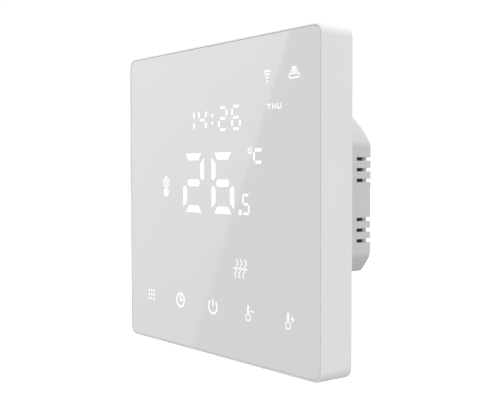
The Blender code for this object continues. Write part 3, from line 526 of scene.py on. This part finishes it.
def band(shape, centre_line, width):
    """Closed line of even width along a rounded outline that runs anticlockwise."""
    count = len(centre_line)
    loops = []
    for side in (-1, 1):
        loop = []
        for i, point in enumerate(centre_line):
            ahead, behind = Vector(centre_line[(i + 1) % count]), Vector(centre_line[i - 1])
            step = (ahead - behind).normalized()
            out = Vector((step.y, -step.x)) * side * width / 2
            loop.append(sunk_corner(shape, point[0] + out.x, point[1] + out.y))
        loops.append(loop)
    inner, outer = loops
    faces = []
    for i in range(count):
        j = (i + 1) % count
        faces.append(shape.faces.new((inner[i], inner[j], outer[j], outer[i])))
    thicken(shape, faces, SIGN_RISE)


def rounded_outline(x0, x1, z0, z1, radius, steps=5):
    """Points of a rounded rectangle, anticlockwise."""
    points = []
    for x, z, first in ((x1, z0, -90), (x1, z1, 0), (x0, z1, 90), (x0, z0, 180)):
        cx = x - radius if x == x1 else x + radius
        cz = z - radius if z == z1 else z + radius
        for i in range(steps + 1):
            turn = math.radians(first + 90 * i / steps)
            points.append((cx + radius * math.cos(turn), cz + radius * math.sin(turn)))
    return points


def segments(shape, left, bottom, width, height, thick, setback, lit, miter):
    """Seven-segment figure: lit names its segments a to g, clockwise from the top, g in the middle."""
    right, top = left + width, bottom + height
    middle = (top + bottom) / 2
    near, far = setback, setback + miter
    half = thick / 2
    if "a" in lit:
        flat_shape(shape, [
            (left + near, top), (right - near, top), (right - far, top - thick), (left + far, top - thick)])
    if "d" in lit:
        flat_shape(shape, [
            (left + near, bottom), (left + far, bottom + thick), (right - far, bottom + thick),
            (right - near, bottom)])
    if "g" in lit:
        flat_shape(shape, [
            (left + half + 0.8 * near, middle), (left + far, middle + half),
            (right - far, middle + half), (right - half - 0.8 * near, middle),
            (right - far, middle - half), (left + far, middle - half)])
    for name, outer, inward, start, rise in (
            ("f", left, 1, top, -1), ("b", right, -1, top, -1),
            ("e", left, 1, bottom, 1), ("c", right, -1, bottom, 1)):
        if name in lit:
            end = middle - rise * (near / 2)
            slim = 0.94 * thick
            flat_shape(shape, [
                (outer, start + rise * near), (outer, end - rise * half * 0.5),
                (outer + inward * slim / 2, end), (outer + inward * slim, end - rise * half),
                (outer + inward * slim, start + rise * (far + 0.15 * thick))])


def big_figures(shape):
    for left, lit in ((-13.9, "abged"), (-0.4, "afgedc")):
        segments(shape, left, -3.65, 10.1, 16.7, 2.0, 1.3, lit, 1.4)
    bar(shape, 11.6, 12.9, -3.7, -2.3)
    segments(shape, 13.0, -3.6, 3.1, 5.6, 0.75, 0.25, "afgcd", 0.55)


def clock_figures(shape):
    """The time, in small thin segments, with a round colon."""
    half_w = 0.42
    low, high = (19.9, 21.5), (22.9, 24.5)
    top, middle, bottom = 25.1, 22.2, 19.15

    def upright(x, *spans):
        for z0, z1 in spans:
            bar(shape, x - half_w, x + half_w, z0, z1)

    def level(x0, x1, *heights):
        for z in heights:
            bar(shape, x0, x1, z - 0.36, z + 0.36)

    upright(-8.5, low, high)
    upright(-6.2, high)
    upright(-2.9, low, high)
    level(-5.75, -3.4, middle)
    disc(shape, 0.1, 23.2, 0.48)
    disc(shape, 0.1, 21.1, 0.48)
    upright(3.05, low)
    upright(6.4, high)
    level(3.55, 5.9, top, middle, bottom)
    upright(8.8, low, high)
    upright(12.1, low)
    level(9.3, 11.6, top, middle, bottom)


def degree_sign(shape):
    ring(shape, 16.2, 13.2, 0.65, 0.42)
    bar(shape, 18.2, 20.9, 12.9, 13.8)
    bar(shape, 17.5, 18.3, 10.6, 12.7)
    bar(shape, 18.4, 20.8, 9.7, 10.6)


def thermometer_sign(shape):
    bar(shape, -23.2, -22.2, 3.2, 6.6)
    for z in (5.5, 4.7, 3.85):
        bar(shape, -24.5, -20.8, z - 0.22, z + 0.22)
    disc(shape, -22.7, 1.85, 1.32)


def signal_sign(shape):
    """Dot with three arcs above it."""
    x, foot = 23.15, 30.5
    disc(shape, x, foot, 0.34)
    for radius in (1.1, 1.95, 2.8):
        ring(shape, x, foot - 0.1, radius, 0.42, 60, 120)


def manual_sign(shape):
    """Cap and shoulders over a rounded base with an opening."""
    x = 33.2
    bar(shape, x - 0.85, x + 0.85, 32.65, 33.35)
    bar(shape, x - 0.85, x + 0.85, 32.15, 32.55)
    bar(shape, x - 0.4, x + 0.4, 31.75, 32.15)
    for side in (-1, 1):
        stroke(shape, (x + side * 0.8, 32.5), (x + side * 1.4, 31.65), 0.42)
    band(shape, rounded_outline(x - 1.85, x + 1.85, 30.6, 31.65, 0.45), 0.4)


def weekday_sign(shape):
    """THU in plain strokes."""
    width, low, high, line = 1.55, 23.4, 24.85, 0.38
    left = 23.0
    bar(shape, left, left + width, high - line, high)
    bar(shape, left + (width - line) / 2, left + (width + line) / 2, low, high - line)
    left += 2.0
    for x in (left, left + width - line):
        bar(shape, x, x + line, low, high)
    bar(shape, left + line, left + width - line, 24.12 - line / 2, 24.12 + line / 2)
    left += 2.0
    for x in (left, left + width - line):
        bar(shape, x, x + line, low, high)
    bar(shape, left + line, left + width - line, low, low + line)


def heating_sign(shape):
    bar(shape, 9.3, 15.1, -18.12, -17.68)
    for x in (10.6, 12.3, 14.1):
        ring(shape, x - 0.35, -16.35, 0.85, 0.45, -75, 75)
        ring(shape, x + 0.15, -19.5, 0.85, 0.45, 105, 255)
        stroke(shape, (x + 0.1, -17.0), (x - 0.25, -18.8), 0.45)


def key_signs(shape):
    """Menu, clock, power, cooler and warmer."""
    z = -29.35
    for column in (-1, 0, 1):
        for row in (-1, 0, 1):
            x = -30.9 + column * 1.32
            bar(shape, x - 0.33, x + 0.33, z + row * 1.2 - 0.36, z + row * 1.2 + 0.36)
    ring(shape, -15.5, z, 1.88, 0.6)
    bar(shape, -15.75, -15.15, z - 0.3, z + 1.35)
    bar(shape, -15.15, -14.3, z - 0.3, z + 0.3)
    ring(shape, 0.1, z, 1.92, 0.58, 131, 409)
    bar(shape, -0.18, 0.38, z + 0.05, z + 2.25)
    for x in (15.4, 31.0):
        bar(shape, x - 0.4, x + 0.4, z - 0.15, z + 2.15)
        ring(shape, x, z - 1.03, 0.90, 0.38)
        bar(shape, x + 0.85, x + 2.35, z + 0.46, z + 0.84)
    bar(shape, 32.42, 32.78, z - 0.15, z + 0.46)
    bar(shape, 32.42, 32.78, z + 0.84, z + 1.45)


def add_sign(name, build):
    shape = bmesh.new()
    build(shape)
    finish(name, shape, SIGN_LIGHT, "front")


add_sign("temperature_figures", big_figures)
add_sign("clock_figures", clock_figures)
add_sign("degree_sign", degree_sign)
add_sign("thermometer_sign", thermometer_sign)
add_sign("signal_sign", signal_sign)
add_sign("manual_sign", manual_sign)
add_sign("weekday_sign", weekday_sign)
add_sign("heating_sign", heating_sign)
add_sign("key_signs", key_signs)


def panel_seal():
    """Pale seal just below the surface, in the gap between the panel and the frame."""
    gap, depth, corner = 0.2, 0.22 * MM, 2.4
    half_x = (PANEL_HIGH.x - PANEL_X) / MM + gap / 2
    half_z = (PANEL_HIGH.z - PANEL_Z) / MM + gap / 2
    shape = bmesh.new()
    band(shape, rounded_outline(-half_x, half_x, -half_z, half_z, corner, 8), 0.95 * gap)
    bmesh.ops.translate(shape, vec=(0, SIGN_LIFT + depth, 0), verts=shape.verts)
    finish("panel_seal", shape, ADHESIVE, "front")


panel_seal()


# ---- fine detail inside --------------------------------------------------------------------------
def slab(shape, corners, rise):
    """One outline of points in space, extruded by a vector."""
    thicken(shape, [shape.faces.new([shape.verts.new(c) for c in corners])], rise)


def block(shape, low, high, ease=0.0):
    """A box between two corners, with its edges rounded by ease."""
    low, high = Vector(low), Vector(high)
    place = Matrix.Translation((low + high) / 2) @ Matrix.Diagonal((*(high - low), 1.0))
    made = bmesh.ops.create_cube(shape, size=1.0, matrix=place)
    if ease:
        eased(shape, list({e for v in made["verts"] for e in v.link_edges}), ease, 2)


def lathe(shape, foot, rise, profile, steps):
    """Turn a profile of (height, radius) pairs about a line from foot along rise."""
    rise = Vector(rise).normalized()
    side = rise.orthogonal().normalized()
    verts = [shape.verts.new(Vector(foot) + rise * h + side * r) for h, r in profile]
    edges = [shape.edges.new(pair) for pair in zip(verts, verts[1:])]
    bmesh.ops.spin(
        shape, geom=verts + edges, cent=foot, axis=rise, angle=2 * math.pi, steps=steps, use_merge=True,
        use_duplicate=False)
    on_axis = [v for v in shape.verts if (Vector(foot) - v.co).cross(rise).length < 1e-7]
    bmesh.ops.remove_doubles(shape, verts=on_axis, dist=1e-7)


def solder_point(shape, x, z, y, up, radius):
    """Cone of solder with the cut end of a lead in it."""
    profile = [(0.0, 0.0), (0.0, radius), (0.25 * radius, 0.85 * radius), (0.6 * radius, 0.45 * radius),
               (0.95 * radius, 0.30 * radius), (1.05 * radius, 0.0)]
    lathe(shape, (x, y, z), (0, up, 0), profile, 12)


# Side view of a chip's leg in millimetres: out from the chip, and up from the board.
LEG = ((-0.05, 0.85), (0.35, 0.85), (0.62, 0.15), (1.05, 0.15), (1.05, 0.0), (0.52, 0.0), (0.25, 0.70),
       (-0.05, 0.70))


def chip_legs(name, node, pitch, leg_width, along_x, along_z):
    """Bent legs in rows down the sides of a chip on the back of the display board."""
    low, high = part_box(node)
    shape = bmesh.new()

    def row(first, last, fixed, out_x, out_z):
        room = last - first - 1.2 * MM
        count = int(room / pitch) + 1
        start = (first + last) / 2 - pitch * (count - 1) / 2
        for i in range(count):
            at = start + i * pitch - leg_width / 2
            corners = []
            for u, v in LEG:
                if out_x:
                    corners.append((fixed + out_x * u * MM, BOARD_BACK + v * MM, at))
                else:
                    corners.append((at, BOARD_BACK + v * MM, fixed + out_z * u * MM))
            slab(shape, corners, (0, 0, leg_width) if out_x else (leg_width, 0, 0))

    if along_z:
        row(low.z, high.z, high.x, 1, 0)
        row(low.z, high.z, low.x, -1, 0)
    if along_x:
        row(low.x, high.x, high.z, 0, 1)
        row(low.x, high.x, low.z, 0, -1)
    finish(name, shape, TINNED, "front")
    dot = bmesh.new()
    lathe(dot, (low.x + 1.3 * MM, high.y - 0.02 * MM, high.z - 1.3 * MM), (0, 1, 0),
          [(0.0, 0.0), (0.0, 0.45 * MM), (0.05 * MM, 0.42 * MM), (0.05 * MM, 0.0)], 16)
    finish(name + "_dot", dot, MARK, "front")


chip_legs("main_chip_legs", "main_chip", 0.65 * MM, 0.28 * MM, True, True)
chip_legs("display_driver_legs", "display_driver", 0.65 * MM, 0.28 * MM, False, True)


def part_block(shape, place, near, far, half, tall, ease):
    """Block on the board from near to far along a small part's length, and half to each side of it."""
    x, z, upright = place
    low, high = ((-half, near), (half, far)) if upright else ((near, -half), (far, half))
    block(shape, (x + low[0], BOARD_BACK, z + low[1]), (x + high[0], BOARD_BACK + tall, z + high[1]), ease)


def small_parts():
    """Rows of small resistors and capacitors with soldered ends, on the back of the display board."""
    bodies, ends = bmesh.new(), bmesh.new()
    chip_low, chip_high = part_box("main_chip")
    driver_low, driver_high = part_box("display_driver")
    module_low, module_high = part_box("wireless_module")
    head_low, head_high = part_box("board_header")
    places = [(chip_low.x + (0.8 + 2.4 * i) * MM, chip_low.z - 3.2 * MM, 0) for i in range(5)]
    places += [(chip_low.x - 3.2 * MM, chip_low.z + (1.0 + 2.2 * i) * MM, 1) for i in range(4)]
    places += [(chip_low.x + (1.0 + 2.6 * i) * MM, chip_high.z + 3.4 * MM, 0) for i in range(4)]
    places += [(driver_high.x + 3.4 * MM, driver_low.z + (1.2 + 2.4 * i) * MM, 1) for i in range(4)]
    places += [(driver_low.x - 3.2 * MM, driver_low.z + (1.2 + 2.4 * i) * MM, 1) for i in range(4)]
    places += [(module_high.x + 2.6 * MM, module_low.z + (8.0 + 2.8 * i) * MM, 1) for i in range(5)]
    places += [(head_low.x + (1.5 + 3.0 * i) * MM, head_high.z + 3.0 * MM, 0) for i in range(6)]
    long_half, short_half, tall, cap, lap = 0.80 * MM, 0.42 * MM, 0.5 * MM, 0.3 * MM, 0.02 * MM
    for place in places:
        body_end = long_half - cap
        part_block(bodies, place, -body_end, body_end, short_half, tall, 0.04 * MM)
        part_block(ends, place, -long_half, lap - body_end, short_half + lap, tall * 1.04, 0.05 * MM)
        part_block(ends, place, body_end - lap, long_half, short_half + lap, tall * 1.04, 0.05 * MM)
    finish("small_parts", bodies, SMALL_PART, "front")
    finish("small_part_ends", ends, SOLDER, "front")


small_parts()


def wireless_parts():
    """Module as its own small board, shield can and folded aerial track."""
    low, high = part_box("wireless_module")
    board_top = low.y + 0.8 * MM
    shape = bmesh.new()
    block(shape, low, (high.x, board_top, high.z), 0.05 * MM)
    finish("module_board", shape, BOARD_GREEN, "front", ("wireless_module",))
    can = bmesh.new()
    margin, aerial_room = 0.9 * MM, 6.6 * MM
    block(can, (low.x + margin, board_top, low.z + aerial_room),
          (high.x - margin, high.y, high.z - margin), 0.25 * MM)
    finish("module_shield", can, MODULE_CAN, "front")
    track = bmesh.new()
    left, right = low.x + 1.6 * MM, high.x - 1.6 * MM
    bottom, top = low.z + 1.2 * MM, low.z + 5.4 * MM
    runs = 8
    pitch = (right - left) / runs
    half = 0.25 * MM
    under = board_top - 0.02 * MM
    for i in range(runs + 1):
        x = left + i * pitch
        block(track, (x - half, under, bottom), (x + half, board_top + 0.04 * MM, top))
    for i in range(runs):
        x = left + i * pitch
        z = top if i % 2 == 0 else bottom
        block(track, (x - half, under, z - half), (x + pitch + half, board_top + 0.045 * MM, z + half))
    finish("module_aerial", track, GOLD, "front")
    pads = bmesh.new()
    pad = 0.45 * MM
    for x in (low.x, high.x):
        for i in range(8):
            z = low.z + 7.4 * MM + i * 2.0 * MM
            block(pads, (x - pad, low.y - 0.1 * MM, z - pad), (x + pad, board_top + 0.03 * MM, z + pad),
                  0.12 * MM)
    finish("module_pads", pads, SOLDER, "front")


wireless_parts()


def solder_points():
    """Joints of the springs on the display board and of the parts on the power board."""
    shape = bmesh.new()
    for node in named("touch_spring"):
        low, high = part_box(node)
        solder_point(shape, (low.x + high.x) / 2, (low.z + high.z) / 2, BOARD_BACK, 1, 0.9 * MM)
    finish("display_board_solder", shape, SOLDER, "front")
    shape = bmesh.new()
    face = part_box("power_board")[0].y
    low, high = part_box("transformer")
    spots = [(low.x + 2.0 * MM, low.z + 1.5 * MM), (high.x - 2.0 * MM, low.z + 1.5 * MM),
             (low.x + 2.0 * MM, high.z - 1.5 * MM), (high.x - 2.0 * MM, high.z - 1.5 * MM)]
    low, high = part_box("input_capacitor")
    spots += [(low.x + 1.5 * MM, (low.z + high.z) / 2), (high.x - 1.5 * MM, (low.z + high.z) / 2)]
    low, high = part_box("smoothing_capacitor")
    spots += [((low.x + high.x) / 2 + side * 1.75 * MM, (low.z + high.z) / 2) for side in (-1, 1)]
    low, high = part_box("varistor")
    spots += [((low.x + high.x) / 2, low.z + 1.5 * MM), ((low.x + high.x) / 2, high.z - 1.5 * MM)]
    low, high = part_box("fuse")
    spots += [(low.x + 0.8 * MM, (low.z + high.z) / 2), (high.x - 0.8 * MM, (low.z + high.z) / 2)]
    low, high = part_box("relay_cover")
    spots += [(low.x + 2.0 * MM, high.z - 2.0 * MM), (low.x + 2.0 * MM, low.z + 2.0 * MM),
              (high.x - 2.5 * MM, high.z - 2.0 * MM), (high.x - 2.5 * MM, low.z + 2.0 * MM)]
    for x, z in spots:
        solder_point(shape, x, z, face, -1, 0.85 * MM)
    finish("power_board_solder", shape, SOLDER, "root")


solder_points()


FIGURES = {"1": "bc", "2": "abged", "3": "abgcd", "4": "fgbc", "5": "afgcd", "6": "afgedc"}


def terminal_figures():
    """Raised figures 1 to 6 above the screw wells, read from behind."""
    shape = bmesh.new()
    y = BLOCK_HIGH.y - 0.02 * MM
    height, width, line = 1.3 * MM, 0.8 * MM, 0.20 * MM
    screws = [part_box(n) for n in named("terminal_screw")]
    well_top = max(high.z for low, high in screws) + 0.25 * MM
    middle = (well_top + BLOCK_HIGH.z) / 2
    spans = {"a": (0, 1, 1, 1), "g": (0, 1, 0.5, 0.5), "d": (0, 1, 0, 0), "f": (0, 0, 0.5, 1),
             "b": (1, 1, 0.5, 1), "e": (0, 0, 0, 0.5), "c": (1, 1, 0, 0.5)}
    order = sorted(screws, key=lambda box: -box[0].x)
    for number, (low, high) in enumerate(order, 1):
        centre = (low.x + high.x) / 2
        for part in FIGURES[str(number)]:
            x0, x1, z0, z1 = spans[part]
            left = centre + width / 2 - x1 * width
            right = centre + width / 2 - x0 * width
            bottom, top = middle + (z0 - 0.5) * height, middle + (z1 - 0.5) * height
            block(shape, (left - line / 2, y, bottom - line / 2),
                  (right + line / 2, y + 0.12 * MM, top + line / 2), 0.03 * MM)
    finish("terminal_figures", shape, MARK, "root")


terminal_figures()


def capacitor_can():
    """Sleeved can with a rolled neck and a scored metal top, its score lines drawn as black bars that are
    painted shade for the grooves.
    """
    low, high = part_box("smoothing_capacitor")
    x, z = (low.x + high.x) / 2, (low.z + high.z) / 2
    radius, length = (high.x - low.x) / 2, high.y - low.y
    shape = bmesh.new()
    lathe(shape, (x, low.y, z), (0, 1, 0), [
        (0.0, 0.0), (0.0, 0.80 * radius), (0.02 * length, 0.94 * radius), (0.07 * length, radius),
        (0.12 * length, radius), (0.15 * length, 0.93 * radius), (0.18 * length, 0.93 * radius),
        (0.21 * length, radius), (0.96 * length, radius), (0.99 * length, 0.95 * radius),
        (0.99 * length, 0.86 * radius), (0.975 * length, 0.84 * radius), (0.975 * length, 0.0)], 40)
    finish("capacitor_sleeve", shape, CAN_SLEEVE, "root", ("smoothing_capacitor",))
    top = bmesh.new()
    y = low.y + 0.975 * length
    lathe(top, (x, y - 0.02 * MM, z), (0, 1, 0),
          [(0.0, 0.0), (0.0, 0.84 * radius), (0.12 * MM, 0.83 * radius), (0.16 * MM, 0.0)], 40)
    finish("capacitor_top", top, MODULE_CAN, "root")
    # black bars across the top: painted shade where the score grooves are, not a groove cut into the metal
    score = bmesh.new()
    for dx, dz in ((0.62 * radius, 0.08 * MM), (0.08 * MM, 0.62 * radius)):
        block(score, (x - dx, y + 0.10 * MM, z - dz), (x + dx, y + 0.17 * MM, z + dz))
    finish("capacitor_score", score, CHIP_BLACK, "root")


capacitor_can()


def transformer_parts():
    """Ferrite core round a taped winding on a black bobbin with flanges."""
    low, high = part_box("transformer")
    span = high - low
    core = bmesh.new()
    mid_x = (low.x + high.x) / 2
    left, right = low.x + 0.12 * span.x, high.x - 0.12 * span.x
    leg = 0.20 * span.z
    foot = low.y + 0.16 * span.y
    block(core, (left, foot, low.z), (right, high.y, low.z + leg), 0.2 * MM)
    block(core, (left, foot, high.z - leg), (right, high.y, high.z), 0.2 * MM)
    block(core, (mid_x - 0.15 * span.x, high.y - 0.22 * span.y, low.z + 0.5 * leg),
          (mid_x + 0.15 * span.x, high.y - 0.2 * MM, high.z - 0.5 * leg), 0.2 * MM)
    finish("transformer_core", core, FERRITE, "root", ("transformer",))
    bobbin = bmesh.new()
    block(bobbin, (low.x, low.y, low.z + 0.3 * MM), (high.x, foot, high.z - 0.3 * MM), 0.15 * MM)
    for x0 in (low.x + 0.3 * MM, high.x - 1.3 * MM):
        block(bobbin, (x0, foot - 0.1 * MM, low.z + leg + 0.1 * MM),
              (x0 + MM, high.y - 0.5 * MM, high.z - leg - 0.1 * MM), 0.1 * MM)
    finish("transformer_bobbin", bobbin, CONNECTOR, "root")
    winding = bmesh.new()
    block(winding, (low.x + 1.2 * MM, foot, low.z + leg + 0.2 * MM),
          (high.x - 1.2 * MM, high.y - 0.25 * span.y, high.z - leg - 0.2 * MM), 1.0 * MM)
    finish("transformer_winding", winding, TAPE_YELLOW, "root")


transformer_parts()
